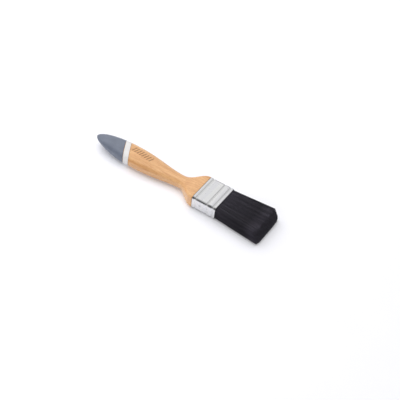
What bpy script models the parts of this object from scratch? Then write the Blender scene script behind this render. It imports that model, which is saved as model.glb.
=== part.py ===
"""Flat paint brush, 38 mm wide: shaped beech handle, formed metal ferrule and synthetic filament.

Metres, +Z up. The brush lies on its broad face along X, tail towards -X and filament towards +X.
The origin is at the centre of its box, on the surface that it lies on.
"""
import math

import bmesh
import bpy

MM = 0.001

# clearances
SEAT_GAP = 0.3 * MM            # between pieces that touch on the real brush

# ferrule
FERRULE_WIDTH = 38.0 * MM
FERRULE_THICKNESS = 16.0 * MM
FERRULE_LENGTH = 28.0 * MM
FERRULE_WALL = 0.6 * MM
FERRULE_CORNER = 3.0 * MM      # outside radius of its four long edges
REAR_BEAD_AT = 3.8 * MM        # from the rear edge
FRONT_BEADS_BACK = (10.4 * MM, 3.4 * MM)    # from the front edge
BEAD_WIDTH = 2.6 * MM
BEAD_DEPTH = 0.55 * MM

# handle, with distances from the tip of the tail unless another end is named
HANDLE_LENGTH = 135.0 * MM     # tail to the ferrule's rear edge
BELLY_WIDTH = 25.8 * MM
BELLY_THICKNESS = 14.8 * MM
BELLY_AT = 44.0 * MM
WAIST_WIDTH = 14.4 * MM
WAIST_THICKNESS = 12.2 * MM
WAIST_BACK = 24.8 * MM         # waist to the ferrule's rear edge
SHOULDER_LAND = 1.6 * MM       # straight stretch behind the ferrule
TAIL_LIFT = 2.2 * MM           # rise of the tip above the ferrule's middle height
NECK_DROP = 1.0 * MM           # fall of the neck below it
TONGUE_LENGTH = 12.0 * MM      # reach of the handle's tongue into the ferrule
BELLY_ROUNDNESS = 0.62         # 0 is a rounded rectangle, 1 an ellipse
WAIST_ROUNDNESS = 0.75
NOSE_POWER = 1.9               # how long the tail keeps its width towards the tip
NOSE_FULLNESS = 1.85           # how blunt the tip is
BELLY_HOLD = 1.45              # how far the belly's width is kept towards the waist

# painted tail, with its edges slanted across the handle
DIP_LENGTH = 36.2 * MM         # tip to the dip's edge, on the middle line
BAND_LENGTH = 6.8 * MM
DIP_SLANT = 0.5                # how far the edges run towards the tail for each mm across to the far side
SLANT_FADE = 30.0 * MM         # length over which the wood's rings straighten again
COAT = 0.4 * MM

# nails through the ferrule's two narrow sides
NAIL_AT = 9.5 * MM             # from the ferrule's rear edge
NAIL_LENGTH = 9.0 * MM
NAIL_RADIUS = 0.5 * MM
NAIL_HEAD_RADIUS = 0.9 * MM
NAIL_HEAD_HEIGHT = 0.25 * MM

# resin, spacers and filament
RESIN_LENGTH = 3.5 * MM
SPACER_THICKNESS = 1.5 * MM
SPACER_SIDE_GAP = 3.0 * MM     # from a spacer's edge to the ferrule's inner wall
SPACER_SETBACK = 2.0 * MM      # from a spacer's front edge to the ferrule's front edge
LAYER_CLOSING = 9.0 * MM       # length over which the layers close up in front of the spacers
MIDDLE_LAYER = 3.4 * MM        # thickness of the filament between the spacers
FILAMENT_OUT = 53.0 * MM       # ferrule's front edge to the toe
TOE_SPREAD = 3.6 * MM          # added on each side at the toe
TOE_DROP = 0.3 * MM            # how much lower the upper face is at the toe
TOE_SLOPE = 4.6 * MM           # how far the toe's upper edge lies behind its lower edge
TOE_CORNER = 3.4 * MM
FLOOR_GAP = 0.15 * MM          # under the filament

RING_POINTS_PER_CORNER = 9

TAIL_X = -(HANDLE_LENGTH + FERRULE_LENGTH + FILAMENT_OUT) / 2.0
REAR_X = TAIL_X + HANDLE_LENGTH
FRONT_X = REAR_X + FERRULE_LENGTH
TOE_X = FRONT_X + FILAMENT_OUT
MID_Z = max(FERRULE_THICKNESS, BELLY_THICKNESS) / 2.0
WAIST_AT = HANDLE_LENGTH - WAIST_BACK
SHOULDER_AT = HANDLE_LENGTH - SHOULDER_LAND
BEAD_CENTRES = [REAR_X + REAR_BEAD_AT] + [FRONT_X - back for back in FRONT_BEADS_BACK]
COATED_X = TAIL_X + DIP_LENGTH + SEAT_GAP + BAND_LENGTH


def blend(start, end, share):
    return start + (end - start) * share


def ease(share):
    """0 to 1 with a level start and end."""
    return 0.5 - 0.5 * math.cos(math.pi * min(max(share, 0.0), 1.0))


def collection(name):
    made = bpy.data.collections.new(name)
    bpy.context.scene.collection.children.link(made)
    return made


def material(name, colour, roughness, metallic=0.0):
    made = bpy.data.materials.new(name)
    made.use_nodes = True
    shader = made.node_tree.nodes["Principled BSDF"]
    shader.inputs["Base Color"].default_value = (*colour, 1.0)
    shader.inputs["Roughness"].default_value = roughness
    shader.inputs["Metallic"].default_value = metallic
    made.diffuse_color = (*colour, 1.0)
    return made


def place(mesh, name, group, finish=None):
    made = bpy.data.objects.new(name, mesh)
    group.objects.link(made)
    if finish:
        mesh.materials.append(finish)
    return made


def section(half_width, half_height, corner, roundness):
    """One cross-section in Y and Z: a rounded rectangle blended towards an ellipse."""
    corner = min(corner, half_width, half_height)
    count = RING_POINTS_PER_CORNER
    points = []
    for quarter, (side_y, side_z) in enumerate(((1, 1), (-1, 1), (-1, -1), (1, -1))):
        for step in range(count):
            turn = math.radians(90.0 * (quarter + step / (count - 1)))
            even = math.radians(90.0 * (quarter + (step + 0.5) / count))
            box_y = side_y * (half_width - corner) + corner * math.cos(turn)
            box_z = side_z * (half_height - corner) + corner * math.sin(turn)
            oval_y = half_width * math.cos(even)
            oval_z = half_height * math.sin(even)
            points.append((blend(box_y, oval_y, roundness), blend(box_z, oval_z, roundness)))
    return points


def ring(x, points, mid_z=MID_Z, lean=0.0):
    """A section placed at x. With a lean, its highest point lies that far behind its lowest."""
    low = min(z for _, z in points)
    high = max(z for _, z in points)
    return [(x - lean * (z - low) / (high - low), y, mid_z + z) for y, z in points]


def loft(name, rings, first_tip=None, last_tip=None, closed=False):
    """Skin between rings of equal count. Each end is a tip, a flat face, or the other end."""
    shape = bmesh.new()
    loops = [[shape.verts.new(point) for point in points] for points in rings]
    pairs = list(zip(loops, loops[1:]))
    if closed:
        pairs.append((loops[-1], loops[0]))
    for near, far in pairs:
        for index in range(len(near)):
            after = (index + 1) % len(near)
            shape.faces.new((near[index], near[after], far[after], far[index]))
    if not closed:
        for loop, tip in ((loops[0], first_tip), (loops[-1], last_tip)):
            if tip is None:
                shape.faces.new(loop)
                continue
            point = shape.verts.new(tip)
            for index in range(len(loop)):
                shape.faces.new((loop[index], loop[(index + 1) % len(loop)], point))
    bmesh.ops.recalc_face_normals(shape, faces=shape.faces)
    mesh = bpy.data.meshes.new(name)
    shape.to_mesh(mesh)
    shape.free()
    mesh.shade_smooth()
    mesh.set_sharp_from_angle(angle=math.radians(35.0))
    return mesh


# ---- shape laws shared by the pieces ----

def bead_inset(x):
    """How far the rolled beads press the ferrule's surface in at x."""
    reach = min(abs(x - centre) for centre in BEAD_CENTRES) / (BEAD_WIDTH / 2.0)
    return BEAD_DEPTH * (1.0 - ease(reach))


def ferrule_stations():
    """Places along the ferrule that follow its beads, from rear to front."""
    places = [REAR_X, FRONT_X]
    for centre in BEAD_CENTRES:
        places += [centre + BEAD_WIDTH / 2.0 * share for share in (-1, -0.5, 0, 0.5, 1)]
    return sorted(places)


def ferrule_ring(x, depth):
    """The ferrule's section at x, taken a depth below its outer surface."""
    inset = depth + bead_inset(x)
    half_width = FERRULE_WIDTH / 2.0 - inset
    half_height = FERRULE_THICKNESS / 2.0 - inset
    return ring(x, section(half_width, half_height, max(FERRULE_CORNER - depth, SEAT_GAP), 0.0))


def handle_size(along, belly, waist, shoulder):
    """Half-size of the handle at a distance from the tail's tip."""
    if along < BELLY_AT:
        return belly * (1.0 - (1.0 - along / BELLY_AT) ** NOSE_POWER) ** (1.0 / NOSE_FULLNESS)
    if along < WAIST_AT:
        return blend(belly, waist, ease(((along - BELLY_AT) / (WAIST_AT - BELLY_AT)) ** BELLY_HOLD))
    return blend(waist, shoulder, ease((along - WAIST_AT) / (SHOULDER_AT - WAIST_AT)))


def handle_roundness(along):
    if along < BELLY_AT:
        return blend(1.0, BELLY_ROUNDNESS, ease(along / BELLY_AT))
    if along < WAIST_AT:
        return blend(BELLY_ROUNDNESS, WAIST_ROUNDNESS, ease((along - BELLY_AT) / (WAIST_AT - BELLY_AT)))
    return blend(WAIST_ROUNDNESS, 0.0, ease((along - WAIST_AT) / (SHOULDER_AT - WAIST_AT)))


def handle_middle(along):
    """Height of the handle's middle line, which follows its gentle double bend."""
    if along < BELLY_AT:
        return MID_Z + TAIL_LIFT * (1.0 - ease(along / BELLY_AT))
    share = min((along - BELLY_AT) / (SHOULDER_AT - BELLY_AT), 1.0)
    return MID_Z - NECK_DROP * math.sin(math.pi * share) ** 2


def handle_ring(x, depth=0.0):
    """The handle's section at x, taken a depth below its finished surface."""
    along = x - TAIL_X
    mid_z = handle_middle(along)
    if along < BELLY_AT:
        along = (along - depth) * BELLY_AT / (BELLY_AT - depth)
    half_width = handle_size(along, BELLY_WIDTH / 2.0, WAIST_WIDTH / 2.0, FERRULE_WIDTH / 2.0)
    half_height = handle_size(along, BELLY_THICKNESS / 2.0, WAIST_THICKNESS / 2.0, FERRULE_THICKNESS / 2.0)
    half_width *= 1.0 - depth * 2.0 / BELLY_WIDTH
    half_height *= 1.0 - depth * 2.0 / BELLY_THICKNESS
    return ring(x, section(half_width, half_height, FERRULE_CORNER, handle_roundness(along)), mid_z)


def slanted_ring(x, depth, slant):
    """The handle's section on a plane slanted across it, so that the far side is nearer the tail."""
    points = handle_ring(x, depth)
    for _ in range(4):
        points = [handle_ring(x - slant * y, depth)[index] for index, (_, y, _) in enumerate(points)]
    return points


def tail_rings(depth, end_x):
    """Rings from the tail's tip to end_x, closer together at the blunt tip, the last with the full slant."""
    steps = 12
    start_x = TAIL_X + depth
    rings = []
    for step in range(1, steps + 1):
        share = (step / steps) ** 2
        rings.append(slanted_ring(blend(start_x, end_x, share), depth, DIP_SLANT * share))
    return rings


# ---- pieces ----

def make_handle(parts, finish):
    """Beech handle with a rebate under the paint and a tongue that fits the ferrule's inside."""
    bare = COAT + SEAT_GAP
    start_x = COATED_X + SEAT_GAP
    end_x = REAR_X - SEAT_GAP
    rings = tail_rings(bare, start_x)
    steps = 34
    for step in range(steps + 1):
        x = blend(start_x, end_x, step / steps)
        rings.append(slanted_ring(x, 0.0, DIP_SLANT * (1.0 - ease((x - start_x) / SLANT_FADE))))
    tongue_end = REAR_X + TONGUE_LENGTH
    fit = FERRULE_WALL + SEAT_GAP
    tongue = [x for x in ferrule_stations() if x < tongue_end - SEAT_GAP]
    first = ferrule_ring(REAR_X, fit)
    rings.append([(end_x, y, z) for _, y, z in first])
    rings += [ferrule_ring(x, fit) for x in tongue[1:]]
    rings.append(ferrule_ring(tongue_end, fit))
    mesh = loft("handle", rings, first_tip=(TAIL_X + bare, 0.0, handle_middle(bare)))
    return place(mesh, "handle", parts, finish)


def make_tail_dip(parts, finish):
    """Cup of lacquer over the tail."""
    end_x = TAIL_X + DIP_LENGTH
    outer = tail_rings(0.0, end_x)
    inner = tail_rings(COAT, end_x)
    mesh = loft("tail_dip_coat", outer + inner[::-1],
                (TAIL_X, 0.0, handle_middle(0.0)), (TAIL_X + COAT, 0.0, handle_middle(COAT)))
    return place(mesh, "tail_dip_coat", parts, finish)


def make_band(parts, finish):
    """Ring of lacquer between the dip and the bare wood."""
    start_x = TAIL_X + DIP_LENGTH + SEAT_GAP
    places = [blend(start_x, COATED_X, step / 3.0) for step in range(4)]
    outer = [slanted_ring(x, 0.0, DIP_SLANT) for x in places]
    inner = [slanted_ring(x, COAT, DIP_SLANT) for x in reversed(places)]
    return place(loft("white_band_coat", outer + inner, closed=True), "white_band_coat", parts, finish)


def make_ferrule(parts, finish):
    """Sleeve of sheet metal with one bead at the rear and two at the front."""
    places = ferrule_stations()
    outer = [ferrule_ring(x, 0.0) for x in places]
    inner = [ferrule_ring(x, FERRULE_WALL) for x in reversed(places)]
    return place(loft("ferrule", outer + inner, closed=True), "ferrule", parts, finish)


def nail_mesh(name, side):
    """Round nail along Y, its domed head outside the ferrule's narrow side."""
    seat = FERRULE_WIDTH / 2.0 + SEAT_GAP
    crown = seat + NAIL_HEAD_HEIGHT
    profile = [(seat - NAIL_LENGTH, NAIL_RADIUS * 0.3), (seat - NAIL_LENGTH + 2.0 * NAIL_RADIUS, NAIL_RADIUS),
               (seat, NAIL_RADIUS), (seat, NAIL_HEAD_RADIUS)]
    for step in range(1, 4):
        turn = math.radians(22.5 * step)
        profile.append((blend(seat, crown, 0.3 + 0.7 * math.sin(turn)), NAIL_HEAD_RADIUS * math.cos(turn)))
    sides = 16
    rings = []
    for y, radius in profile:
        turns = [2.0 * math.pi * index / sides for index in range(sides)]
        rings.append([(REAR_X + NAIL_AT + radius * math.cos(turn), side * y, MID_Z + radius * math.sin(turn))
                      for turn in turns])
    return loft(name, rings)


def cut_nail_holes(pieces, cutters):
    """Round holes along Y through the ferrule's narrow sides and into the tongue."""
    for side, label in ((1, "far"), (-1, "near")):
        reach = NAIL_LENGTH + 2.0 * SEAT_GAP
        shape = bmesh.new()
        bmesh.ops.create_cone(shape, cap_ends=True, segments=16, radius1=NAIL_RADIUS + SEAT_GAP,
                              radius2=NAIL_RADIUS + SEAT_GAP, depth=reach)
        mesh = bpy.data.meshes.new("nail_hole_" + label)
        shape.to_mesh(mesh)
        shape.free()
        cutter = place(mesh, "nail_hole_" + label, cutters)
        cutter.rotation_euler = (math.radians(90.0), 0.0, 0.0)
        middle = FERRULE_WIDTH / 2.0 + 2.0 * SEAT_GAP - reach / 2.0
        cutter.location = (REAR_X + NAIL_AT, side * middle, MID_Z)
        cutter.hide_render = True
        cutter.display_type = "WIRE"
        for piece in pieces:
            cut = piece.modifiers.new("nail_hole_" + label, "BOOLEAN")
            cut.operation = "DIFFERENCE"
            cut.object = cutter


def make_nails(parts, finish):
    for side, label in ((1, "far"), (-1, "near")):
        name = "ferrule_nail_" + label
        place(nail_mesh(name, side), name, parts, finish)


def resin_start():
    return REAR_X + TONGUE_LENGTH + SEAT_GAP


def root_start():
    return resin_start() + RESIN_LENGTH + SEAT_GAP


def make_resin(parts, finish):
    """Cast block that locks the filament's root ends, shaped by the ferrule's inside."""
    start_x = resin_start()
    end_x = start_x + RESIN_LENGTH
    between = [x for x in ferrule_stations() if start_x + SEAT_GAP < x < end_x - SEAT_GAP]
    rings = [ferrule_ring(x, FERRULE_WALL + SEAT_GAP) for x in [start_x, *between, end_x]]
    return place(loft("resin_block", rings), "resin_block", parts, finish)


def make_spacers(parts, finish):
    """Two flat strips between the filament layers, ending short of the ferrule's front edge."""
    start_x = root_start()
    end_x = FRONT_X - SPACER_SETBACK
    half_width = FERRULE_WIDTH / 2.0 - FERRULE_WALL - BEAD_DEPTH - SPACER_SIDE_GAP
    offset = MIDDLE_LAYER / 2.0 + SEAT_GAP + SPACER_THICKNESS / 2.0
    for name, mid_z in (("spacer_upper", MID_Z + offset), ("spacer_lower", MID_Z - offset)):
        bpy.ops.mesh.primitive_cube_add(size=1.0)
        spacer = bpy.context.active_object
        spacer.name = name
        spacer.data.name = name
        size = (end_x - start_x, 2.0 * half_width, SPACER_THICKNESS)
        for vertex in spacer.data.vertices:
            vertex.co = [value * length for value, length in zip(vertex.co, size)]
        spacer.location = ((start_x + end_x) / 2.0, 0.0, mid_z)
        edge = spacer.modifiers.new("rounded_edges", "BEVEL")
        edge.width = SPACER_THICKNESS / 4.0
        edge.segments = 2
        spacer.data.materials.append(finish)
        for group in list(spacer.users_collection):
            group.objects.unlink(spacer)
        parts.objects.link(spacer)


def filament_bundle():
    """Outer shape of all the filament: straight in the ferrule, spreading to a sloped toe."""
    fit = FERRULE_WALL + SEAT_GAP
    start_x = root_start()
    inside = [x for x in ferrule_stations() if x > start_x + SEAT_GAP]
    rings = [ferrule_ring(x, fit) for x in [start_x, *inside]]
    low_at_mouth = MID_Z - FERRULE_THICKNESS / 2.0 + fit
    high_at_mouth = MID_Z + FERRULE_THICKNESS / 2.0 - fit
    half_at_mouth = FERRULE_WIDTH / 2.0 - fit
    steps = 8
    for step in range(1, steps + 1):
        share = step / steps
        low = blend(low_at_mouth, FLOOR_GAP, share)
        high = blend(high_at_mouth, high_at_mouth - TOE_DROP, share ** 1.5)
        half_width = half_at_mouth + (TOE_SPREAD + fit) * share ** 0.8
        corner = blend(FERRULE_CORNER - fit, TOE_CORNER, share)
        outline = section(half_width, (high - low) / 2.0, corner, 0.0)
        rings.append(ring(blend(FRONT_X, TOE_X, share), outline, (high + low) / 2.0, TOE_SLOPE * share ** 2))
    return loft("filament_bundle", rings)


def bisect(shape, point, normal, clear_outer=False):
    geometry = list(shape.verts) + list(shape.edges) + list(shape.faces)
    return bmesh.ops.bisect_plane(shape, geom=geometry, plane_co=point, plane_no=normal,
                                  clear_outer=clear_outer)


def slice_between(whole, name, low_z, high_z):
    """The part of a closed mesh between two level planes, closed again.

    In front of the spacers the cut faces step out, so that the layers close up on each other.
    """
    shape = bmesh.new()
    shape.from_mesh(whole)
    ramp_start = FRONT_X - SPACER_SETBACK + SEAT_GAP
    ramp_end = ramp_start + LAYER_CLOSING
    closing = (SPACER_THICKNESS + SEAT_GAP) / 2.0
    for height, way in ((low_z, -1.0), (high_z, 1.0)):
        if height is None:
            continue
        cut = bisect(shape, (0.0, 0.0, height), (0.0, 0.0, way), clear_outer=True)
        rim = [item for item in cut["geom_cut"] if isinstance(item, bmesh.types.BMEdge)]
        bmesh.ops.contextual_create(shape, geom=rim)
    for x in (ramp_start, ramp_end):
        bisect(shape, (x, 0.0, 0.0), (1.0, 0.0, 0.0))
    for height, way in ((low_z, -1.0), (high_z, 1.0)):
        if height is None:
            continue
        for vertex in shape.verts:
            if abs(vertex.co.z - height) < 0.001 * MM:
                share = (vertex.co.x - ramp_start) / LAYER_CLOSING
                vertex.co.z += way * closing * min(max(share, 0.0), 1.0)
    bmesh.ops.recalc_face_normals(shape, faces=shape.faces)
    mesh = bpy.data.meshes.new(name)
    shape.to_mesh(mesh)
    shape.free()
    mesh.shade_smooth()
    mesh.set_sharp_from_angle(angle=math.radians(35.0))
    return mesh


def make_filament(parts, finish):
    """Three layers of filament, parted by the two spacers."""
    whole = filament_bundle()
    inner = MIDDLE_LAYER / 2.0
    outer = inner + 2.0 * SEAT_GAP + SPACER_THICKNESS
    for name, low_z, high_z in (("filament_upper", MID_Z + outer, None),
                                ("filament_middle", MID_Z - inner, MID_Z + inner),
                                ("filament_lower", None, MID_Z - outer)):
        place(slice_between(whole, name, low_z, high_z), name, parts, finish)
    bpy.data.meshes.remove(whole)


def build():
    for item in list(bpy.data.objects):
        bpy.data.objects.remove(item, do_unlink=True)
    parts = collection("paint_brush")
    cutters = collection("cutters")
    handle = make_handle(parts, material("lacquered_beech", (0.72, 0.46, 0.22), 0.35))
    make_tail_dip(parts, material("grey_lacquer", (0.19, 0.22, 0.27), 0.35))
    make_band(parts, material("white_lacquer", (0.86, 0.85, 0.83), 0.35))
    ferrule = make_ferrule(parts, material("plated_steel", (0.72, 0.71, 0.70), 0.3, 1.0))
    cut_nail_holes((handle, ferrule), cutters)
    make_nails(parts, material("nail_steel", (0.6, 0.6, 0.6), 0.3, 1.0))
    make_resin(parts, material("cast_resin", (0.45, 0.33, 0.15), 0.3))
    make_spacers(parts, material("spacer_board", (0.5, 0.4, 0.28), 0.8))
    make_filament(parts, material("black_filament", (0.03, 0.028, 0.032), 0.6))


build()
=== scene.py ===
import math
import random

import bmesh
import bpy
from mathutils import Matrix, Vector, noise


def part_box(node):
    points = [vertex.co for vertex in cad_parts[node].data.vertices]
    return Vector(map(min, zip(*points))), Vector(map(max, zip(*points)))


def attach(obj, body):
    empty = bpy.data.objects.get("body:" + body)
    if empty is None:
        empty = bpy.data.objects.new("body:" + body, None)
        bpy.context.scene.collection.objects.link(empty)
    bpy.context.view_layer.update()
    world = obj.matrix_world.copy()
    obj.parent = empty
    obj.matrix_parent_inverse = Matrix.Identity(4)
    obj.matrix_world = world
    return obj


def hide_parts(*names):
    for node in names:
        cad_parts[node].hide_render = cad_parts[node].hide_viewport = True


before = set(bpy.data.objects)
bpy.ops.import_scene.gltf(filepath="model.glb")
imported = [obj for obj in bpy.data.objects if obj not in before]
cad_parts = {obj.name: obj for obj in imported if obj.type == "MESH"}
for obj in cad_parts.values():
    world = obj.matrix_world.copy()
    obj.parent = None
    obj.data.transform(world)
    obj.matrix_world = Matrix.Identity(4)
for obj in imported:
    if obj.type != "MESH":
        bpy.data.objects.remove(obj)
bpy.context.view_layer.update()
mm = 0.001
random.seed(27)

# the frame's own places, which every piece below is built from
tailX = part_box("tail_dip_coat")[0][0]
rearX, frontX = (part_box("ferrule")[end][0] for end in (0, 1))
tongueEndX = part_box("handle")[1][0]
rootX, toeX = (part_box("filament_lower")[end][0] for end in (0, 1))
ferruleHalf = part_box("ferrule")[1][1]
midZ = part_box("ferrule")[1][2] / 2
seatGap = 0.3 * mm


def blend(start, end, share):
    return start + (end - start) * share


def ease(share):
    return 0.5 - 0.5 * math.cos(math.pi * min(max(share, 0.0), 1.0))


def steps(start, end, count):
    return [blend(start, end, step / count) for step in range(count + 1)]


cameraSet = {
    "turn": 27.95,       # degrees from straight across the brush towards its tail
    "height": 45.82,     # degrees above the floor
    "roll": 7.29,
    "distance": 1.0,
    "lens": 87.1,
    "aside": 13.2 * mm,  # the ferrule sits this far right of the middle
    "lift": 2.1 * mm,
    "nearest": 0.05,
}


def makeCamera():
    turn, height, roll = (math.radians(cameraSet[key]) for key in ("turn", "height", "roll"))
    across = Vector((math.cos(turn), math.sin(turn), 0.0))
    level = Vector((-math.sin(turn), math.cos(turn), 0.0))
    ahead = level * math.cos(height) - Vector((0.0, 0.0, math.sin(height)))
    above = across.cross(ahead)
    right = across * math.cos(roll) + above * math.sin(roll)
    up = above * math.cos(roll) - across * math.sin(roll)
    target = Vector(((rearX + frontX) / 2, 0.0, midZ))
    place = target - ahead * cameraSet["distance"] - right * cameraSet["aside"] - up * cameraSet["lift"]
    data = bpy.data.cameras.new("view")
    data.lens = cameraSet["lens"]
    data.clip_start = cameraSet["nearest"]
    made = bpy.data.objects.new("view", data)
    bpy.context.scene.collection.objects.link(made)
    turned = Matrix((right, up, -ahead)).transposed().to_4x4()
    made.matrix_world = Matrix.Translation(place) @ turned
    bpy.context.scene.camera = made


makeCamera()
print("camera placed")


def linear(hexColour):
    values = [int(hexColour[at:at + 2], 16) / 255 for at in (0, 2, 4)]
    return tuple(v / 12.92 if v <= 0.04045 else ((v + 0.055) / 1.055) ** 2.4 for v in values) + (1.0,)


def grains(alongMm, acrossMm):
    # texture scale for marks of a real size in millimetres, along the brush and across it
    return (1000 / alongMm, 1000 / acrossMm, 1000 / acrossMm)


def addNode(tree, kind, settings=None, links=None):
    # settings are a node's own properties, its sockets, and as "stops" the places and tones of a ramp;
    # a link that names a whole node comes from its first output
    node = tree.nodes.new(kind)
    for key, value in (settings or {}).items():
        if key == "stops":
            bands = node.color_ramp.elements
            while len(bands) < len(value):
                bands.new(0.5)
            for band, (place, tone) in zip(bands, value):
                band.position = place
                band.color = linear(tone) if isinstance(tone, str) else (tone, tone, tone, 1.0)
        elif isinstance(key, str) and hasattr(node, key):
            setattr(node, key, value)
        else:
            node.inputs[key].default_value = value
    for key, source in (links or {}).items():
        tree.links.new(source.outputs[0] if isinstance(source, bpy.types.Node) else source, node.inputs[key])
    return node


def newMaterial(name):
    made = bpy.data.materials.new(name)
    made.use_nodes = True
    tree = made.node_tree
    tree.nodes.clear()
    space = addNode(tree, "ShaderNodeTexCoord").outputs["Object"]
    return made, tree, space


stageSet = {
    "floorHalf": 6.0,
    "floorTones": ("E4E4EA", "E6E6EB"),
    "floorGlow": 0.16,
    # each softbox: place, size and power
    "softboxes": (((-0.6, 0.2, 1.08), 1.4, 12.0), ((-0.2, -1.25, 0.45), 1.2, 5.5)),
    # brightness of the room by height: low edge, walls and ceiling
    "roomStops": [(0.0, 0.175), (0.12, 0.175), (0.4, 0.45), (0.75, 0.43)],
    "roomPower": 2.0,
    "unlitWay": (-0.33, -0.7, 0.63),    # towards the unlit part of the room, which the metal's edges mirror
    "unlitTone": 0.15,
    "unlitEdge": (0.8, 0.93),           # cosines between which that part begins
    "tailToToe": (-0.2, 0.55),          # the room dims from the tail's side to the toe's side,
    "tailToToeTones": (1.12, 0.52),     # so that the beads' far flanks go dark
}


def makeFloor():
    shape = bmesh.new()
    bmesh.ops.create_grid(shape, x_segments=8, y_segments=8, size=stageSet["floorHalf"])
    data = bpy.data.meshes.new("floor")
    shape.to_mesh(data)
    shape.free()
    floor = bpy.data.objects.new("floor", data)
    bpy.context.scene.collection.objects.link(floor)
    # white acrylic sheet, cast, satin and lit from below: even and bright, with faint clouding 60 mm
    # wide, so that shadows on it stay pale
    made, tree, space = newMaterial("White acrylic, satin cast")
    cloud = addNode(tree, "ShaderNodeTexNoise", {"Scale": 1000 / 60, "Detail": 3.0}, {"Vector": space})
    tone = addNode(tree, "ShaderNodeValToRGB", {"stops": list(zip((0.3, 0.7), stageSet["floorTones"]))},
                   {"Fac": cloud})
    shader = addNode(tree, "ShaderNodeBsdfPrincipled", {
        "Roughness": 0.9, "Specular IOR Level": 0.15, "Emission Color": linear("FFFFFF"),
        "Emission Strength": stageSet["floorGlow"]}, {"Base Color": tone})
    addNode(tree, "ShaderNodeOutputMaterial", links={"Surface": shader})
    data.materials.append(made)


def makeLights():
    world = bpy.data.worlds.new("studio")
    bpy.context.scene.world = world
    world.use_nodes = True
    tree = world.node_tree
    tree.nodes.clear()
    way = addNode(tree, "ShaderNodeTexCoord").outputs["Generated"]
    parts = addNode(tree, "ShaderNodeSeparateXYZ", links={0: way})
    upward = addNode(tree, "ShaderNodeValToRGB", {"stops": stageSet["roomStops"]},
                     {"Fac": parts.outputs["Z"]})
    towards = addNode(tree, "ShaderNodeVectorMath", {"operation": "DOT_PRODUCT", 1: stageSet["unlitWay"]},
                      {0: way})
    unlitFrom, unlitTo = stageSet["unlitEdge"]
    unlit = addNode(tree, "ShaderNodeMapRange", {
        "interpolation_type": "SMOOTHSTEP", "From Min": unlitFrom, "From Max": unlitTo,
        "To Min": 1.0, "To Max": stageSet["unlitTone"]}, {"Value": towards.outputs["Value"]})
    (tailFrom, toeTo), (tailTone, toeTone) = stageSet["tailToToe"], stageSet["tailToToeTones"]
    aside = addNode(tree, "ShaderNodeMapRange", {
        "From Min": tailFrom, "From Max": toeTo, "To Min": tailTone, "To Max": toeTone},
        {"Value": parts.outputs["X"]})
    multiply = {"data_type": "RGBA", "blend_type": "MULTIPLY", 0: 1.0}
    room = addNode(tree, "ShaderNodeMix", multiply, {6: upward, 7: unlit}).outputs[2]
    room = addNode(tree, "ShaderNodeMix", multiply, {6: room, 7: aside}).outputs[2]
    lit = addNode(tree, "ShaderNodeBackground", {"Strength": stageSet["roomPower"]}, {"Color": room})
    seen = addNode(tree, "ShaderNodeBackground", {"Color": linear("FFFFFF"), "Strength": 1.0})
    ray = addNode(tree, "ShaderNodeLightPath").outputs["Is Camera Ray"]
    both = addNode(tree, "ShaderNodeMixShader", links={0: ray, 1: lit, 2: seen})
    addNode(tree, "ShaderNodeOutputWorld", links={"Surface": both})
    for at, (place, size, power) in enumerate(stageSet["softboxes"]):
        data = bpy.data.lights.new(f"softbox{at}", "AREA")
        data.shape = "SQUARE"
        data.size = size
        data.energy = power
        box = bpy.data.objects.new(f"softbox{at}", data)
        box.location = place
        box.rotation_euler = (-box.location).to_track_quat("-Z", "Y").to_euler()
        bpy.context.scene.collection.objects.link(box)
        box.visible_glossy = False    # the metal mirrors the room, not the lamps
    bpy.context.scene.view_settings.view_transform = "Standard"


makeFloor()
makeLights()
print("stage set")


def loft(rings, firstTip=None, lastTip=None, closed=False):
    # skin between rings of equal count; an end is a tip, a flat face, or the other end
    shape = bmesh.new()
    loops = [[shape.verts.new(point) for point in points] for points in rings]
    pairs = list(zip(loops, loops[1:]))
    if closed:
        pairs.append((loops[-1], loops[0]))
    for near, far in pairs:
        for at in range(len(near)):
            after = (at + 1) % len(near)
            shape.faces.new((near[at], near[after], far[after], far[at]))
    if not closed:
        for loop, tip in ((loops[0], firstTip), (loops[-1], lastTip)):
            if tip is None:
                shape.faces.new(loop)
                continue
            point = shape.verts.new(tip)
            for at in range(len(loop)):
                shape.faces.new((loop[at], loop[(at + 1) % len(loop)], point))
    bmesh.ops.recalc_face_normals(shape, faces=shape.faces)
    return shape


def addPiece(name, shape, material, slot, *nodes, sharp=35.0):
    data = bpy.data.meshes.new(name)
    shape.to_mesh(data)
    shape.free()
    data.shade_smooth()
    data.set_sharp_from_angle(angle=math.radians(sharp))
    data.materials.append(material)
    made = bpy.data.objects.new(name, data)
    bpy.context.scene.collection.objects.link(made)
    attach(made, "root")
    if nodes:
        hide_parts(*nodes)
    return made


def sectionPoint(at, count, halfWidth, halfHeight, corner, roundness):
    # one point of a rounded rectangle blended towards an ellipse, with count points to a quarter
    quarter, step = divmod(at, count)
    sideY, sideZ = ((1, 1), (-1, 1), (-1, -1), (1, -1))[quarter]
    corner = min(corner, halfWidth, halfHeight)
    turn = math.radians(90 * (quarter + step / (count - 1)))
    even = math.radians(90 * (quarter + (step + 0.5) / count))
    boxY = sideY * (halfWidth - corner) + corner * math.cos(turn)
    boxZ = sideZ * (halfHeight - corner) + corner * math.sin(turn)
    return (blend(boxY, halfWidth * math.cos(even), roundness),
            blend(boxZ, halfHeight * math.sin(even), roundness))


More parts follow.
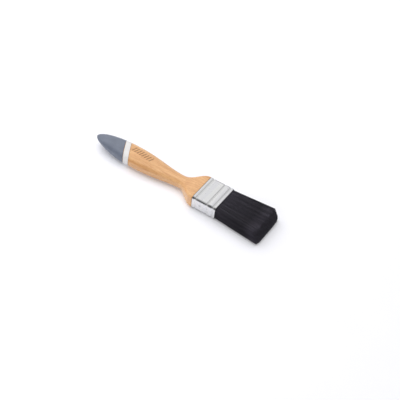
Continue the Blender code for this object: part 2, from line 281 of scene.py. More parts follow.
handleSet = {
    "bellyWidth": 25.8 * mm,
    "bellyThickness": 14.8 * mm,
    "bellyAt": 44.0 * mm,        # from the tail's tip
    "bellyRoundness": 0.62,      # 0 is a rounded box, 1 an ellipse
    "bellyHold": 1.45,           # above 1 the belly stays wide for longer
    "waistWidth": 14.4 * mm,
    "waistThickness": 12.2 * mm,
    "waistBack": 24.8 * mm,      # from the ferrule
    "waistRoundness": 0.75,
    "shoulderLand": 1.6 * mm,
    "tailLift": 2.2 * mm,
    "neckDrop": 1.0 * mm,
    "nosePower": 1.9,
    "noseFullness": 1.85,
    "corner": 3.0 * mm,
    "ringTones": ("CF9C66", "DDAD78", "E4B780"),
    "fibreTones": ("D8B08C", "FFFFFF"),
    "rayTone": "B9804C",
    "coat": 0.4 * mm,            # lacquer on the tail and the band
    "tongueFit": 0.9 * mm,       # the ferrule's wall and its clearance
    "tongueCorner": 2.1 * mm,
    "slimCorner": 1.6 * mm,      # where the rear bead presses the tongue
    "tongueStart": 0.4 * mm,     # inside the ferrule
    "ringPoints": 22,            # in each quarter of a section
    "tailRings": 30,
    "bodyRings": 150,
    "tongueRings": 24,
    "slantFade": 30.0 * mm,      # sections slant with the band's edge, and are square again after this
    "slantRounds": 5,            # enough for a point to settle on its slanting section
}
dipSet = {
    "greyTones": ("626978", "6B7281"),
    "greyGloss": 0.25,            # roughness of the clear coat
    "whiteTones": ("D7D5D3", "DDDBDA"),
    "whiteGloss": 0.2,
    "endX": tailX + 36.2 * mm,    # the edges on the middle line
    "bandLength": 6.8 * mm,
    "slant": 0.5,                 # how far the edges run towards the tail for each mm across
    "wander": 0.12 * mm,          # how unevenly the lacquer's edge runs round the wood
    "waves": ((2, 1.0, 1.0), (3, 0.6, 2.1), (7, 0.3, 1.0)),    # turns, share and shift of each wave
    "greySeed": 0.7,
    "woodSeed": 2.4,
    "bandShare": 0.9,             # the white edge wanders a little less
    "lip": 0.2 * mm,
    "lipAngles": (30, 60, 80),
    "tailRings": 56,
    "bandRings": 12,
    "insideBandRings": 6,
}
bandStartX = dipSet["endX"] + seatGap
bandEndX = bandStartX + dipSet["bandLength"]
waistAt = rearX - tailX - handleSet["waistBack"]
shoulderAt = rearX - tailX - handleSet["shoulderLand"]


def handleSize(along, belly, waist, shoulder):
    bellyAt = handleSet["bellyAt"]
    if along < bellyAt:
        nose = 1 - (1 - along / bellyAt) ** handleSet["nosePower"]
        return belly * nose ** (1 / handleSet["noseFullness"])
    if along < waistAt:
        return blend(belly, waist, ease(((along - bellyAt) / (waistAt - bellyAt)) ** handleSet["bellyHold"]))
    return blend(waist, shoulder, ease((along - waistAt) / (shoulderAt - waistAt)))


def handleRoundness(along):
    bellyAt, belly, waist = (handleSet[key] for key in ("bellyAt", "bellyRoundness", "waistRoundness"))
    if along < bellyAt:
        return blend(1.0, belly, ease(along / bellyAt))
    if along < waistAt:
        return blend(belly, waist, ease((along - bellyAt) / (waistAt - bellyAt)))
    return blend(waist, 0.0, ease((along - waistAt) / (shoulderAt - waistAt)))


def handleMiddle(along):
    bellyAt = handleSet["bellyAt"]
    if along < bellyAt:
        return midZ + handleSet["tailLift"] * (1 - ease(along / bellyAt))
    share = min((along - bellyAt) / (shoulderAt - bellyAt), 1.0)
    return midZ - handleSet["neckDrop"] * math.sin(math.pi * share) ** 2


def handlePoint(x, at, depth):
    along = x - tailX
    middle = handleMiddle(along)
    bellyAt = handleSet["bellyAt"]
    if along < bellyAt:
        along = max((along - depth) * bellyAt / (bellyAt - depth), 0.0)
    width, thickness = handleSet["bellyWidth"], handleSet["bellyThickness"]
    halfWidth = handleSize(along, width / 2, handleSet["waistWidth"] / 2, ferruleHalf)
    halfHeight = handleSize(along, thickness / 2, handleSet["waistThickness"] / 2, midZ)
    halfWidth *= 1 - depth * 2 / width
    halfHeight *= 1 - depth * 2 / thickness
    y, z = sectionPoint(at, handleSet["ringPoints"], halfWidth, halfHeight, handleSet["corner"],
                        handleRoundness(along))
    return (x, y, middle + z)


def handleRing(x, depth=0.0, slant=0.0):
    # a section whose far side is nearer the tail by the slant
    ring = []
    for at in range(4 * handleSet["ringPoints"]):
        point = handlePoint(x, at, depth)
        if slant:
            for _ in range(handleSet["slantRounds"]):
                point = handlePoint(x - slant * point[1], at, depth)
        ring.append(point)
    return ring


def tailRings(depth, endX, count, slant):
    # from the blunt tip to endX, the last with the full slant
    start = tailX + depth
    shares = [(step / count) ** 2 for step in range(1, count + 1)]
    return [handleRing(blend(start, endX, share), depth, slant * share) for share in shares]


def beechMaterial():
    # steamed beech, shaped, sanded and lacquered: warm honey, fine lengthways grain, short dark
    # flecks of the rays, and a soft gloss from the lacquer
    made, tree, space = newMaterial("Beech, sanded and lacquered")
    # growth rings 5.5 mm apart, fibres drawn three times wider than real ones, and rays 3.2 mm long
    ringSpace = addNode(tree, "ShaderNodeMapping", {"Scale": grains(70, 5.5)}, {"Vector": space})
    rings = addNode(tree, "ShaderNodeTexNoise", {"Scale": 1.0, "Detail": 2.0, "Distortion": 0.4},
                    {"Vector": ringSpace})
    fibres = addNode(tree, "ShaderNodeTexNoise", {"Scale": 1.0, "Detail": 4.0}, {
        "Vector": addNode(tree, "ShaderNodeMapping", {"Scale": grains(22, 0.9)}, {"Vector": space})})
    rays = addNode(tree, "ShaderNodeTexNoise", {"Scale": 1.0, "Detail": 0.0}, {
        "Vector": addNode(tree, "ShaderNodeMapping", {"Scale": grains(3.2, 0.45)}, {"Vector": space})})
    ringTone = addNode(tree, "ShaderNodeValToRGB", {
        "stops": list(zip((0.3, 0.5, 0.72), handleSet["ringTones"]))}, {"Fac": rings})
    fibreTone = addNode(tree, "ShaderNodeValToRGB", {
        "stops": list(zip((0.32, 0.62), handleSet["fibreTones"]))}, {"Fac": fibres})
    rayShare = addNode(tree, "ShaderNodeValToRGB", {"stops": [(0.62, 0.0), (0.74, 0.55)]}, {"Fac": rays})
    grained = addNode(tree, "ShaderNodeMix", {"data_type": "RGBA", "blend_type": "MULTIPLY", 0: 0.5},
                      {6: ringTone, 7: fibreTone}).outputs[2]
    flecked = addNode(tree, "ShaderNodeMix", {"data_type": "RGBA", 7: linear(handleSet["rayTone"])},
                      {0: rayShare, 6: grained}).outputs[2]
    dull = addNode(tree, "ShaderNodeValToRGB", {"stops": [(0.2, 0.5), (0.8, 0.34)]}, {"Fac": fibres})
    bump = addNode(tree, "ShaderNodeBump", {"Distance": 0.05 * mm, "Strength": 0.5}, {"Height": fibres})
    shader = addNode(tree, "ShaderNodeBsdfPrincipled", {
        "IOR": 1.5, "Coat Weight": 0.7, "Coat Roughness": 0.25, "Coat IOR": 1.5},
        {"Base Color": flecked, "Roughness": dull, "Normal": bump})
    addNode(tree, "ShaderNodeOutputMaterial", links={"Surface": shader})
    return made


def tongueOutline(fit, corner):
    count = handleSet["ringPoints"]
    return [sectionPoint(at, count, ferruleHalf - fit, midZ - fit, corner, 0.0) for at in range(4 * count)]


def makeHandle():
    bare = handleSet["coat"] + seatGap
    start = bandEndX + seatGap
    end = rearX - seatGap
    rings = tailRings(bare, start, handleSet["tailRings"], dipSet["slant"])
    for x in steps(start, end, handleSet["bodyRings"]):
        faded = 1 - ease((x - start) / handleSet["slantFade"])
        rings.append(handleRing(x, 0.0, dipSet["slant"] * faded))
    # the tongue in the ferrule, slimmer where the rear bead presses it
    tongue = tongueOutline(handleSet["tongueFit"], handleSet["tongueCorner"])
    slim = tongueOutline(handleSet["tongueFit"] + beadSet["depth"], handleSet["slimCorner"])
    rings.append([(end, y, midZ + z) for y, z in slim])
    for x in steps(rearX + handleSet["tongueStart"], tongueEndX, handleSet["tongueRings"]):
        share = 1 - beadInset(x) / beadSet["depth"]
        rings.append([(x, blend(slimY, wideY, share), midZ + blend(slimZ, wideZ, share))
                      for (slimY, slimZ), (wideY, wideZ) in zip(slim, tongue)])
    tip = (tailX + bare, 0.0, handleMiddle(bare))
    return addPiece("beech_handle", loft(rings, tip), beechMaterial(), "beech", "handle", sharp=40)


def lacquerMaterial(name, tones, gloss):
    # nitro lacquer, dipped: smooth and even, with a slight orange peel and a satin highlight
    made, tree, space = newMaterial(name)
    cloud = addNode(tree, "ShaderNodeTexNoise", {"Scale": 1.0, "Detail": 2.0}, {
        "Vector": addNode(tree, "ShaderNodeMapping", {"Scale": grains(9, 7)}, {"Vector": space})})
    peel = addNode(tree, "ShaderNodeTexNoise", {"Scale": 1000 / 1.3, "Detail": 1.0}, {"Vector": space})
    tone = addNode(tree, "ShaderNodeValToRGB", {"stops": list(zip((0.3, 0.7), tones))}, {"Fac": cloud})
    dull = addNode(tree, "ShaderNodeValToRGB", {"stops": [(0.3, 0.36), (0.7, 0.46)]}, {"Fac": peel})
    bump = addNode(tree, "ShaderNodeBump", {"Distance": 0.02 * mm, "Strength": 0.4}, {"Height": peel})
    shader = addNode(tree, "ShaderNodeBsdfPrincipled", {
        "IOR": 1.48, "Coat Weight": 0.3, "Coat Roughness": gloss, "Coat IOR": 1.5},
        {"Base Color": tone, "Roughness": dull, "Normal": bump})
    addNode(tree, "ShaderNodeOutputMaterial", links={"Surface": shader})
    return made


def wandering(points, seed, share=1.0):
    # shifts a ring's points along the brush by a slow wave round it
    waves = dipSet["waves"]
    whole = sum(size for turns, size, shift in waves)
    moved = []
    for x, y, z in points:
        turn = math.atan2(z - midZ, y)
        wave = sum(size * math.sin(turns * turn + shift * seed) for turns, size, shift in waves)
        moved.append((x + dipSet["wander"] * share * wave / whole, y, z))
    return moved


def lipRings(x, way):
    # the free edge of a coat, rolled over towards the wood
    lip = dipSet["lip"]
    turns = [math.radians(angle) for angle in dipSet["lipAngles"]]
    return [handleRing(x + way * lip * math.sin(turn), lip * (1 - math.cos(turn)), dipSet["slant"])
            for turn in turns]


def makeTailDip():
    coat, lip, slant = handleSet["coat"], dipSet["lip"], dipSet["slant"]
    end = dipSet["endX"] - dipSet["wander"] - lip
    lips = lipRings(end, 1)
    outer = tailRings(0.0, end, dipSet["tailRings"], slant) + lips
    inner = tailRings(coat, end + lip, handleSet["tailRings"], slant)
    rings = outer + inner[::-1]
    for at in range(len(outer) - len(lips) - 1, len(outer) + 1):
        rings[at] = wandering(rings[at], dipSet["greySeed"])
    shape = loft(rings, (tailX, 0.0, handleMiddle(0.0)), (tailX + coat, 0.0, handleMiddle(coat)))
    grey = lacquerMaterial("Nitro lacquer, slate grey, dipped", dipSet["greyTones"], dipSet["greyGloss"])
    return addPiece("grey_tail_lacquer", shape, grey, "grey_lacquer", "tail_dip_coat", sharp=50)


def makeBand():
    coat, lip, slant = handleSet["coat"], dipSet["lip"], dipSet["slant"]
    start = bandStartX + dipSet["wander"] + lip
    end = bandEndX - dipSet["wander"] - lip
    outer = lipRings(start, -1)[::-1]
    outer += [handleRing(x, 0.0, slant) for x in steps(start, end, dipSet["bandRings"])]
    outer += lipRings(end, 1)
    inner = [handleRing(x, coat, slant) for x in steps(end + lip, start - lip, dipSet["insideBandRings"])]
    rings = outer + inner
    lastTowardsWood = len(outer) + len(inner) // 2
    for at, points in enumerate(rings):
        towardsTail = at < len(outer) // 2 or at > lastTowardsWood
        seed = dipSet["greySeed"] if towardsTail else dipSet["woodSeed"]
        rings[at] = wandering(points, seed, dipSet["bandShare"])
    white = lacquerMaterial("Nitro lacquer, white, dipped", dipSet["whiteTones"], dipSet["whiteGloss"])
    return addPiece("white_band_lacquer", loft(rings, closed=True), white, "white_lacquer",
                    "white_band_coat", sharp=50)


markSet = {
    "startX": -61.5 * mm,
    "middleY": 3.0 * mm,
    "fall": 0.08,             # how far the row leans towards the near side
    "strokes": 8,             # a plain row of slanting strokes, with no meaning
    "pitch": 3.3 * mm,
    "strokeWidth": 1.25 * mm,
    "strokeHeight": 6.6 * mm,
    "strokeLean": 0.35,
    "widthSteps": 2,
    "heightSteps": 6,
    "underside": 0.01 * mm,   # above the wood
    "film": 0.05 * mm,        # the ink's upper side
    "inkTones": ("87613C", "A0784E"),
}


def topOfHandle(x, y):
    # height of the handle's upper surface, from the section's own points
    points = sorted((point[1], point[2]) for point in handleRing(x) if point[2] > handleMiddle(x - tailX))
    for (nearY, nearZ), (farY, farZ) in zip(points, points[1:]):
        if nearY <= y <= farY and nearY < farY:
            return blend(nearZ, farZ, (y - nearY) / (farY - nearY))
    return points[-1][1]


def inkMaterial():
    # pad printing ink: thin and matt, worn paler in specks that are drawn coarser than real, to show
    made, tree, space = newMaterial("Pad printing ink, brown")
    wearAndPaintedShade = addNode(tree, "ShaderNodeTexNoise", {"Scale": 1000 / 0.6, "Detail": 2.0}, {"Vector": space})
    tone = addNode(tree, "ShaderNodeValToRGB", {"stops": list(zip((0.3, 0.7), markSet["inkTones"]))},
                   {"Fac": wearAndPaintedShade})
    dull = addNode(tree, "ShaderNodeValToRGB", {"stops": [(0.3, 0.5), (0.7, 0.65)]}, {"Fac": wearAndPaintedShade})
    shader = addNode(tree, "ShaderNodeBsdfPrincipled", {"IOR": 1.5}, {"Base Color": tone, "Roughness": dull})
    addNode(tree, "ShaderNodeOutputMaterial", links={"Surface": shader})
    return made


def makeMark():
    shape = bmesh.new()
    across, up = markSet["widthSteps"], markSet["heightSteps"]
    half = markSet["strokeHeight"] / 2
    for at in range(markSet["strokes"]):
        left = markSet["startX"] + at * markSet["pitch"]
        middle = markSet["middleY"] - markSet["fall"] * at * markSet["pitch"]
        low, high = [], []
        for sheet, lift in ((low, markSet["underside"]), (high, markSet["film"])):
            for x in steps(left, left + markSet["strokeWidth"], across):
                column = []
                for y in steps(middle - half, middle + half, up):
                    leaning = x + markSet["strokeLean"] * (y - middle)
                    column.append(shape.verts.new((leaning, y, topOfHandle(leaning, y) + lift)))
                sheet.append(column)
        for a in range(across):
            for b in range(up):
                shape.faces.new((high[a][b], high[a + 1][b], high[a + 1][b + 1], high[a][b + 1]))
                shape.faces.new((low[a][b + 1], low[a + 1][b + 1], low[a + 1][b], low[a][b]))
        rim = [(a, 0) for a in range(across)] + [(across, b) for b in range(up)]
        rim += [(a, up) for a in range(across, 0, -1)] + [(0, b) for b in range(up, 0, -1)]
        for (a, b), (c, d) in zip(rim, rim[1:] + rim[:1]):
            shape.faces.new((low[a][b], low[c][d], high[c][d], high[a][b]))
    bmesh.ops.recalc_face_normals(shape, faces=shape.faces)
    return addPiece("printed_tick_mark", shape, inkMaterial(), None, sharp=30)


ferruleSet = {
    "wall": 0.6 * mm,
    "corner": 3.0 * mm,
    "arcSteps": 12,
    "broadSteps": 36,
    "narrowSteps": 12,
    "outsideSteps": 120,
    "insideSteps": 60,
    "rollAngles": (30, 60, 90, 120, 150),
    "crown": 0.2 * mm,       # how far the strips beside the beads stand above the flat field
    "waviness": 0.012 * mm,  # how far the rolled sheet is from flat
    "waveSize": 15 * mm,
    "seamAt": -8.0 * mm,     # lap seam on the underside
    "seamWidth": 0.5 * mm,
    "seamDepth": 0.12 * mm,
    "plateTones": ("E2E2E5", "E9E9E9"),
    "paintedBendShadeTones": (1.0, 0.42),    # share of that colour on the flats and on the bends, where the darkening is painted shade
}
beadSet = {
    "centres": (rearX + 3.8 * mm, frontX - 10.4 * mm, frontX - 3.4 * mm),
    "width": 2.6 * mm,
    "depth": 0.55 * mm,
}


def beadInset(x):
    reach = min(abs(x - centre) for centre in beadSet["centres"]) / (beadSet["width"] / 2)
    return beadSet["depth"] * (1 - ease(reach))


def fieldInset(x):
    # the strips at the rear, between the front beads and at the front are rolled to a low crown
    rear, middle, front = beadSet["centres"]
    reach = beadSet["width"] / 2
    for start, end in ((rearX, rear - reach), (middle + reach, front - reach), (front + reach, frontX)):
        if start < x < end:
            return ferruleSet["crown"] * (1 - math.sin(math.pi * (x - start) / (end - start)))
    return ferruleSet["crown"]


def boxOutline(halfWidth, halfHeight, corner):
    # rounded rectangle whose flats are divided too, so that they can be less than perfectly flat
    arc, broad, narrow = (ferruleSet[key] for key in ("arcSteps", "broadSteps", "narrowSteps"))
    points = []
    signs = ((1, 1), (-1, 1), (-1, -1), (1, -1))
    for quarter, (sideY, sideZ) in enumerate(signs):
        for step in range(arc + 1):
            turn = math.radians(90 * (quarter + step / arc))
            points.append((sideY * (halfWidth - corner) + corner * math.cos(turn),
                           sideZ * (halfHeight - corner) + corner * math.sin(turn)))
        nextY, nextZ = signs[(quarter + 1) % 4]
        count = broad if quarter % 2 == 0 else narrow
        startY, startZ = points[-1]
        turn = math.radians(90 * (quarter + 1))
        endY = nextY * (halfWidth - corner) + corner * math.cos(turn)
        endZ = nextZ * (halfHeight - corner) + corner * math.sin(turn)
        for share in (step / count for step in range(1, count)):
            points.append((blend(startY, endY, share), blend(startZ, endZ, share)))
    return points


def ferruleRing(x, depth, outside):
    corner = max(ferruleSet["corner"] - depth, seatGap)
    size = ferruleSet["waveSize"]
    points = []
    for y, z in boxOutline(ferruleHalf - depth, midZ - depth, corner):
        if outside:
            wave = 0.5 + 0.5 * noise.noise(Vector((x / size, y / size, z / size)))
            press = ferruleSet["waviness"] * wave + fieldInset(x)
            seam = abs(y - ferruleSet["seamAt"]) / ferruleSet["seamWidth"]
            if z < 0 and seam < 1:
                press += ferruleSet["seamDepth"] * (1 - ease(seam))
            if abs(y) / ferruleHalf > abs(z) / midZ:
                y -= math.copysign(press, y)
            else:
                z -= math.copysign(press, z)
        points.append((x, y, midZ + z))
    return points


def ferruleMaterial():
    # steel strip, rolled and nickel plated: bright and neutral, with faint rolling lines round the
    # sleeve that blur what it mirrors, drawn ten times wider than real, and duller handling marks
    made, tree, space = newMaterial("Nickel plated steel, rolled")
    lines = addNode(tree, "ShaderNodeTexNoise", {"Scale": 1.0, "Detail": 3.0}, {
        "Vector": addNode(tree, "ShaderNodeMapping", {"Scale": grains(0.8, 40)}, {"Vector": space})})
    bands = addNode(tree, "ShaderNodeTexNoise", {"Scale": 1.0, "Detail": 1.0}, {
        "Vector": addNode(tree, "ShaderNodeMapping", {"Scale": grains(3.5, 60)}, {"Vector": space})})
    handled = addNode(tree, "ShaderNodeTexNoise", {"Scale": 1000 / 9, "Detail": 1.0}, {"Vector": space})
    tone = addNode(tree, "ShaderNodeValToRGB", {
        "stops": list(zip((0.35, 0.65), ferruleSet["plateTones"]))}, {"Fac": bands})
    streak = addNode(tree, "ShaderNodeValToRGB", {"stops": [(0.3, 0.94), (0.7, 1.0)]}, {"Fac": lines})
    streaked = addNode(tree, "ShaderNodeMix", {"data_type": "RGBA", "blend_type": "MULTIPLY", 0: 1.0},
                       {6: tone, 7: streak}).outputs[2]
    # painted shade: the plating is drawn darker along the four bends, where the metal faces between up and
    # aside
    facing = addNode(tree, "ShaderNodeVectorMath", {"operation": "ABSOLUTE"}, {
        0: addNode(tree, "ShaderNodeTexCoord").outputs["Normal"]})
    parts = addNode(tree, "ShaderNodeSeparateXYZ", links={0: facing})
    bend = addNode(tree, "ShaderNodeMath", {"operation": "MULTIPLY"},
                   {0: parts.outputs["Y"], 1: parts.outputs["Z"]})
    paintedBendShade = addNode(tree, "ShaderNodeValToRGB", {
        "stops": list(zip((0.13, 0.43), ferruleSet["paintedBendShadeTones"]))}, {"Fac": bend})
    wearAndPaintedShade = addNode(tree, "ShaderNodeMix", {"data_type": "RGBA", "blend_type": "MULTIPLY", 0: 1.0},
                   {6: streaked, 7: paintedBendShade}).outputs[2]
    dull = addNode(tree, "ShaderNodeValToRGB", {"stops": [(0.25, 0.24), (0.75, 0.32)]}, {"Fac": handled})
    bump = addNode(tree, "ShaderNodeBump", {"Distance": 0.005 * mm, "Strength": 0.2}, {"Height": lines})
    shader = addNode(tree, "ShaderNodeBsdfPrincipled", {"Metallic": 1.0},
                     {"Base Color": wearAndPaintedShade, "Roughness": dull, "Normal": bump})
    addNode(tree, "ShaderNodeOutputMaterial", links={"Surface": shader})
    return made


def makeFerrule():
    wall = ferruleSet["wall"]
    lip = wall / 2
    start, end = rearX + lip, frontX - lip
    rolls = [math.radians(angle) for angle in ferruleSet["rollAngles"]]
    outside = [(x, beadInset(x)) for x in steps(start, end, ferruleSet["outsideSteps"])]
    inside = [(end + lip * math.sin(turn), lip - lip * math.cos(turn)) for turn in rolls]
    inside += [(x, wall + beadInset(x)) for x in steps(end, start, ferruleSet["insideSteps"])]
    inside += [(start - lip * math.sin(turn), lip + lip * math.cos(turn)) for turn in rolls]
    rings = [ferruleRing(x, depth, True) for x, depth in outside]
    rings += [ferruleRing(x, depth, False) for x, depth in inside]
    return addPiece("ferrule_sleeve", loft(rings, closed=True), ferruleMaterial(), "ferrule_metal",
                    "ferrule", sharp=60)


nailSet = {
    "at": 9.5 * mm,           # from the ferrule's rear edge
    "length": 9.0 * mm,
    "radius": 0.5 * mm,
    "pointShares": (0.15, 0.6, 1.0),
    "headRadius": 0.9 * mm,
    "headHeight": 0.18 * mm,
    "rim": 0.1 * mm,
    "bevel": 0.08 * mm,
    "domeAngles": (0, 25, 45, 60, 75, 84),
    "sides": 40,
    "plateTones": ("DCDCDE", "E8E8E8"),
}


def nailMaterial():
    # steel wire, drawn and nickel plated: as bright as the sleeve, with fine hammer marks
    made, tree, space = newMaterial("Drawn steel wire, nickel plated")
    marks = addNode(tree, "ShaderNodeTexNoise", {"Scale": 1000 / 0.3, "Detail": 2.0}, {"Vector": space})
    tone = addNode(tree, "ShaderNodeValToRGB", {"stops": list(zip((0.3, 0.7), nailSet["plateTones"]))},
                   {"Fac": marks})
    dull = addNode(tree, "ShaderNodeValToRGB", {"stops": [(0.3, 0.28), (0.7, 0.42)]}, {"Fac": marks})
    bump = addNode(tree, "ShaderNodeBump", {"Distance": 0.02 * mm, "Strength": 0.3}, {"Height": marks})
    shader = addNode(tree, "ShaderNodeBsdfPrincipled", {"Metallic": 1.0},
                     {"Base Color": tone, "Roughness": dull, "Normal": bump})
    addNode(tree, "ShaderNodeOutputMaterial", links={"Surface": shader})
    return made


def makeNails():
    metal = nailMaterial()
    radius, headRadius, rim = (nailSet[key] for key in ("radius", "headRadius", "rim"))
    seat = ferruleHalf + seatGap
    foot = seat - nailSet["length"]
    dome = nailSet["headHeight"] - rim
    profile = [(foot + step * radius, radius * share) for step, share in enumerate(nailSet["pointShares"])]
    profile += [(seat - rim, radius), (seat, radius + rim), (seat, headRadius - nailSet["bevel"])]
    for turn in (math.radians(angle) for angle in nailSet["domeAngles"]):
        profile.append((seat + rim + dome * math.sin(turn), headRadius * math.cos(turn)))
    turns = [2 * math.pi * at / nailSet["sides"] for at in range(nailSet["sides"])]
    middleX = rearX + nailSet["at"]
    for side, label in ((1, "far"), (-1, "near")):
        rings = []
        for y, size in profile:
            rings.append([(middleX + size * math.cos(turn), side * y, midZ + size * math.sin(turn))
                          for turn in turns])
        addPiece("nail_" + label, loft(rings), metal, "nail_steel", "ferrule_nail_" + label, sharp=45)


filamentSet = {
    "pitch": 0.43 * mm,
    "rowPacking": 0.87,        # rows lie in each other's gaps
    "slack": 1.4 * mm,         # of the thickness, left free of rows
    "rootRadius": 0.19 * mm,   # about twice a real filament, so that single ones still show
    "tipRadius": 0.09 * mm,
    "taperPower": 1.5,
    "pointLength": 0.15 * mm,
    "sides": 4,
    "segments": 9,
    "tipCrowding": 1.6,        # above 1 the segments are shorter towards the tip
    "fit": 0.9 * mm,           # inside the ferrule's wall
    "spread": 3.9 * mm,        # added on each side at the toe
    "spreadPower": 0.8,
    "toeBottom": 0.25 * mm,    # how high the pack's underside is at the toe
    "toeDrop": 1.2 * mm,       # how far its upper side falls there
    "dropPower": 1.5,
    "closingFrom": 1.7 * mm,   # behind the ferrule's front edge the three layers begin to close up,
    "closing": 9.0 * mm,       # and this far on they are one pack
    "toeSlope": 4.9 * mm,
    "toeCurve": 2.0,           # above 1 the slope steepens towards the top, as trimmed ends do
    "toeReach": 1.1 * mm,      # how far the longest ends stand past the solid toe
    "cornerTrims": (1.5 * mm, 3.4 * mm),    # how much shorter the toe corners are, bottom and top
    "cornerPower": 5,
    "rounding": 3.0,           # how far the pack's long edges are drawn in,
    "roundingDepth": 0.2,      # over this share of its thickness
    "jitter": 0.3,             # share of the pitch
    "stray": (0.1 * mm, 0.08 * mm),
    "clump": 0.5 * mm,         # how far tufts lean together
    "clumpsAcross": 9,
    "clumpsThick": 5,
    "driftPower": 1.6,
    "tipScatter": 0.5 * mm,
    "strayTip": 0.35,          # of the scatter, for each filament
    "tuftTip": 0.8,            # of the scatter, for each tuft
    "tuftSize": 1.7,
    "shadeLength": 53.0 * mm,  # from the tips back to the ferrule
    "floorGap": 0.05 * mm,
    "blackTones": ("37343E", "4E4A54", "65636D"),    # darkest, middle and palest filament
}
layerSet = {
    # share of the pack's height at the toe, and height in the ferrule beside the spacers
    "lower": ((0.0, 0.335), (0.9 * mm, 4.2 * mm)),
    "middle": ((0.335, 0.675), (6.3 * mm, 9.7 * mm)),
    "upper": ((0.675, 1.0), (11.8 * mm, 15.1 * mm)),
}


def filamentMaterial():
    # black polyester filament, extruded: near black with a cool grey sheen where the light runs
    # along it, each one a little different, in tufts 1.8 mm wide
    made, tree, space = newMaterial("Polyester filament, extruded")
    single = addNode(tree, "ShaderNodeNewGeometry").outputs["Random Per Island"]
    toTip = addNode(tree, "ShaderNodeAttribute", {"attribute_name": "toTip"}).outputs["Fac"]
    tufts = addNode(tree, "ShaderNodeTexNoise", {"Scale": 1.0, "Detail": 2.0}, {
        "Vector": addNode(tree, "ShaderNodeMapping", {"Scale": grains(30, 1.8)}, {"Vector": space})})
    drawn = addNode(tree, "ShaderNodeTexNoise", {"Scale": 1.0, "Detail": 1.0}, {
        "Vector": addNode(tree, "ShaderNodeMapping", {"Scale": grains(6, 0.1)}, {"Vector": space})})
    tone = addNode(tree, "ShaderNodeValToRGB", {
        "stops": list(zip((0.0, 0.6, 1.0), filamentSet["blackTones"]))}, {"Fac": single})
    tuftTone = addNode(tree, "ShaderNodeValToRGB", {"stops": [(0.35, 0.62), (0.65, 1.0)]}, {"Fac": tufts})
    # flagged ends: split and matt, a little darker at the very tip, and paler over the last 5 mm than
    # behind;
    # that paleness is partly the flagging and partly painted highlight on the toe face and its ridge
    endsAndPaintedLight = addNode(tree, "ShaderNodeValToRGB", {
        "stops": [(0.0, 0.8), (0.02, 1.0), (0.1, 1.0), (0.26, 0.42), (0.7, 0.46), (1.0, 0.59)]},
        {"Fac": toTip})
    multiply = {"data_type": "RGBA", "blend_type": "MULTIPLY", 0: 1.0}
    tufted = addNode(tree, "ShaderNodeMix", multiply, {6: tone, 7: tuftTone}).outputs[2]
    ended = addNode(tree, "ShaderNodeMix", multiply, {6: tufted, 7: endsAndPaintedLight}).outputs[2]
    dull = addNode(tree, "ShaderNodeValToRGB", {"stops": [(0.0, 0.38), (1.0, 0.55)]}, {"Fac": single})
    bump = addNode(tree, "ShaderNodeBump", {"Distance": 0.01 * mm, "Strength": 0.3}, {"Height": drawn})
    shader = addNode(tree, "ShaderNodeBsdfPrincipled", {
        "IOR": 1.55, "Specular IOR Level": 0.28, "Specular Tint": linear("F3F0FF")},
        {"Base Color": ended, "Roughness": dull, "Normal": bump})
    addNode(tree, "ShaderNodeOutputMaterial", links={"Surface": shader})
    return made


def filamentPoint(share, across, height, layer, drift):
    # share runs 0 to 1 from the ferrule's edge to the toe, across -1 to 1 over the pack's width, and
    # height 0 to 1 over its thickness
    fit = filamentSet["fit"]
    (lowShare, highShare), (lowIn, highIn) = layer
    out = max(share, 0.0)
    halfWidth = ferruleHalf - fit + (filamentSet["spread"] + fit) * out ** filamentSet["spreadPower"]
    bottom = blend(fit, filamentSet["toeBottom"], out)
    top = 2 * midZ - blend(fit, filamentSet["toeDrop"], out ** filamentSet["dropPower"])
    fanned = blend(bottom, top, height)
    closed = blend(lowIn, highIn, (height - lowShare) / (highShare - lowShare))
    x = blend(frontX, toeX, share)
    settled = ease((x - frontX + filamentSet["closingFrom"]) / filamentSet["closing"])
    grown = out ** filamentSet["driftPower"]
    y = across * halfWidth + drift[0] * grown
    z = blend(closed, fanned, settled) + drift[1] * grown
    return Vector((x, y, max(z, filamentSet["tipRadius"] + filamentSet["floorGap"])))


def filamentStrand(across, height, layer):
    # rings of one strand's points, its tip, and how far each is from the tip
    edge = min(height, 1 - height)
    across *= 1 - filamentSet["rounding"] * max(0.0, filamentSet["roundingDepth"] - edge) ** 2
    # the numbers without a name only pick a place in the noise
    group = Vector((across * filamentSet["clumpsAcross"], height * filamentSet["clumpsThick"], 3.7))
    strayY, strayZ = filamentSet["stray"]
    clump = filamentSet["clump"]
    drift = (clump * noise.noise(group) + random.gauss(0, strayY),
             clump * noise.noise(group + Vector((0, 0, 9))) + random.gauss(0, strayZ))
    scatter = random.gauss(0, filamentSet["strayTip"])
    scatter += filamentSet["tuftTip"] * noise.noise(group * filamentSet["tuftSize"])
    trim = blend(*filamentSet["cornerTrims"], height ** 2) * abs(across) ** filamentSet["cornerPower"]
    slope = filamentSet["toeSlope"] * height ** filamentSet["toeCurve"]
    whole = toeX - frontX
    length = whole + filamentSet["toeReach"] - slope - trim - filamentSet["tipScatter"] * (1 + scatter)
    first, full = (rootX - frontX) / whole, length / whole
    turn = random.uniform(0, math.pi)
    sides, segments = filamentSet["sides"], filamentSet["segments"]
    points, toTips = [], []
    for step in range(segments + 1):
        share = blend(first, full, 1 - (1 - step / segments) ** filamentSet["tipCrowding"])
        size = blend(filamentSet["rootRadius"], filamentSet["tipRadius"],
                     max(share, 0.0) ** filamentSet["taperPower"])
        x, y, z = filamentPoint(share, across, height, layer, drift)
        for angle in (turn + 2 * math.pi * side / sides for side in range(sides)):
            points.append((x, y + size * math.cos(angle), z + size * math.sin(angle)))
        toTips += [min((full - share) * whole / filamentSet["shadeLength"], 1.0)] * sides
    point = full + filamentSet["pointLength"] / whole
    points.append(tuple(filamentPoint(point, across, height, layer, drift)))
    return points, toTips + [0.0]


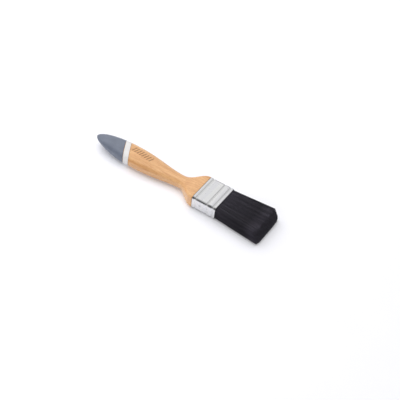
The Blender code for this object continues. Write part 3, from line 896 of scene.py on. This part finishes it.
def filamentLayer(name, material):
    layer = layerSet[name]
    lowShare, highShare = layer[0]
    pitch, jitter = filamentSet["pitch"], filamentSet["jitter"]
    sides, segments = filamentSet["sides"], filamentSet["segments"]
    columns = int(2 * (ferruleHalf + filamentSet["spread"]) / pitch)
    thick = (highShare - lowShare) * (2 * midZ - filamentSet["slack"])
    rows = int(thick / (pitch * filamentSet["rowPacking"]))
    points, faces, toTips = [], [], []
    for row in range(rows):
        for column in range(columns):
            across = 2 * (column + 0.5 + 0.5 * (row % 2)) / (columns + 0.5) - 1
            across += random.uniform(-jitter, jitter) / columns
            height = blend(lowShare, highShare, (row + 0.5 + random.uniform(-jitter, jitter)) / rows)
            base = len(points)
            strand, strandToTips = filamentStrand(across, height, layer)
            points += strand
            toTips += strandToTips
            last = base + segments * sides
            for ring in range(base, last, sides):
                for side in range(sides):
                    here, there = ring + side, ring + (side + 1) % sides
                    faces.append((here, there, there + sides, here + sides))
            faces.append(tuple(base + side for side in reversed(range(sides))))
            for side in range(sides):
                faces.append((last + side, last + (side + 1) % sides, last + sides))
    data = bpy.data.meshes.new("filament_strands_" + name)
    data.from_pydata(points, [], faces)
    data.attributes.new("toTip", "FLOAT", "POINT").data.foreach_set("value", toTips)
    data.shade_smooth()
    data.materials.append(material)
    made = bpy.data.objects.new("filament_strands_" + name, data)
    bpy.context.scene.collection.objects.link(made)
    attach(made, "root")
    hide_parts("filament_" + name)
    print("filament layer", name, rows * columns, "strands", len(faces), "faces")


def makeFilament():
    black = filamentMaterial()
    for name in layerSet:
        filamentLayer(name, black)


def resinMaterial():
    # epoxy resin, cast: amber, glassy where it set against the metal
    made, tree, space = newMaterial("Epoxy resin, cast")
    cloud = addNode(tree, "ShaderNodeTexNoise", {"Scale": 1000 / 4, "Detail": 2.0}, {"Vector": space})
    tone = addNode(tree, "ShaderNodeValToRGB", {"stops": [(0.3, "6E4A1E"), (0.7, "9A6D31")]}, {"Fac": cloud})
    bump = addNode(tree, "ShaderNodeBump", {"Distance": 0.1 * mm, "Strength": 0.4}, {"Height": cloud})
    shader = addNode(tree, "ShaderNodeBsdfPrincipled", {"IOR": 1.55, "Roughness": 0.2},
                     {"Base Color": tone, "Normal": bump})
    addNode(tree, "ShaderNodeOutputMaterial", links={"Surface": shader})
    return made


def boardMaterial():
    # grey board, pressed: matt and fibrous, the fibres drawn coarser than real
    made, tree, space = newMaterial("Fibre board, pressed")
    fibre = addNode(tree, "ShaderNodeTexNoise", {"Scale": 1.0, "Detail": 4.0}, {
        "Vector": addNode(tree, "ShaderNodeMapping", {"Scale": grains(2.5, 0.5)}, {"Vector": space})})
    tone = addNode(tree, "ShaderNodeValToRGB", {"stops": [(0.3, "8E7A5E"), (0.7, "B39C7A")]}, {"Fac": fibre})
    dull = addNode(tree, "ShaderNodeValToRGB", {"stops": [(0.3, 0.8), (0.7, 0.95)]}, {"Fac": fibre})
    bump = addNode(tree, "ShaderNodeBump", {"Distance": 0.08 * mm, "Strength": 0.6}, {"Height": fibre})
    shader = addNode(tree, "ShaderNodeBsdfPrincipled", {"IOR": 1.5},
                     {"Base Color": tone, "Roughness": dull, "Normal": bump})
    addNode(tree, "ShaderNodeOutputMaterial", links={"Surface": shader})
    return made


def finishHidden():
    # the pieces inside the ferrule are the frame's own
    resin, board = resinMaterial(), boardMaterial()
    for name, made in (("resin_block", resin), ("spacer_upper", board), ("spacer_lower", board)):
        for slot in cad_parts[name].material_slots:
            slot.material = made


makeHandle()
makeTailDip()
makeBand()
makeMark()
print("handle made")
makeFerrule()
makeNails()
print("ferrule made")
makeFilament()
finishHidden()
print("hidden pieces finished")
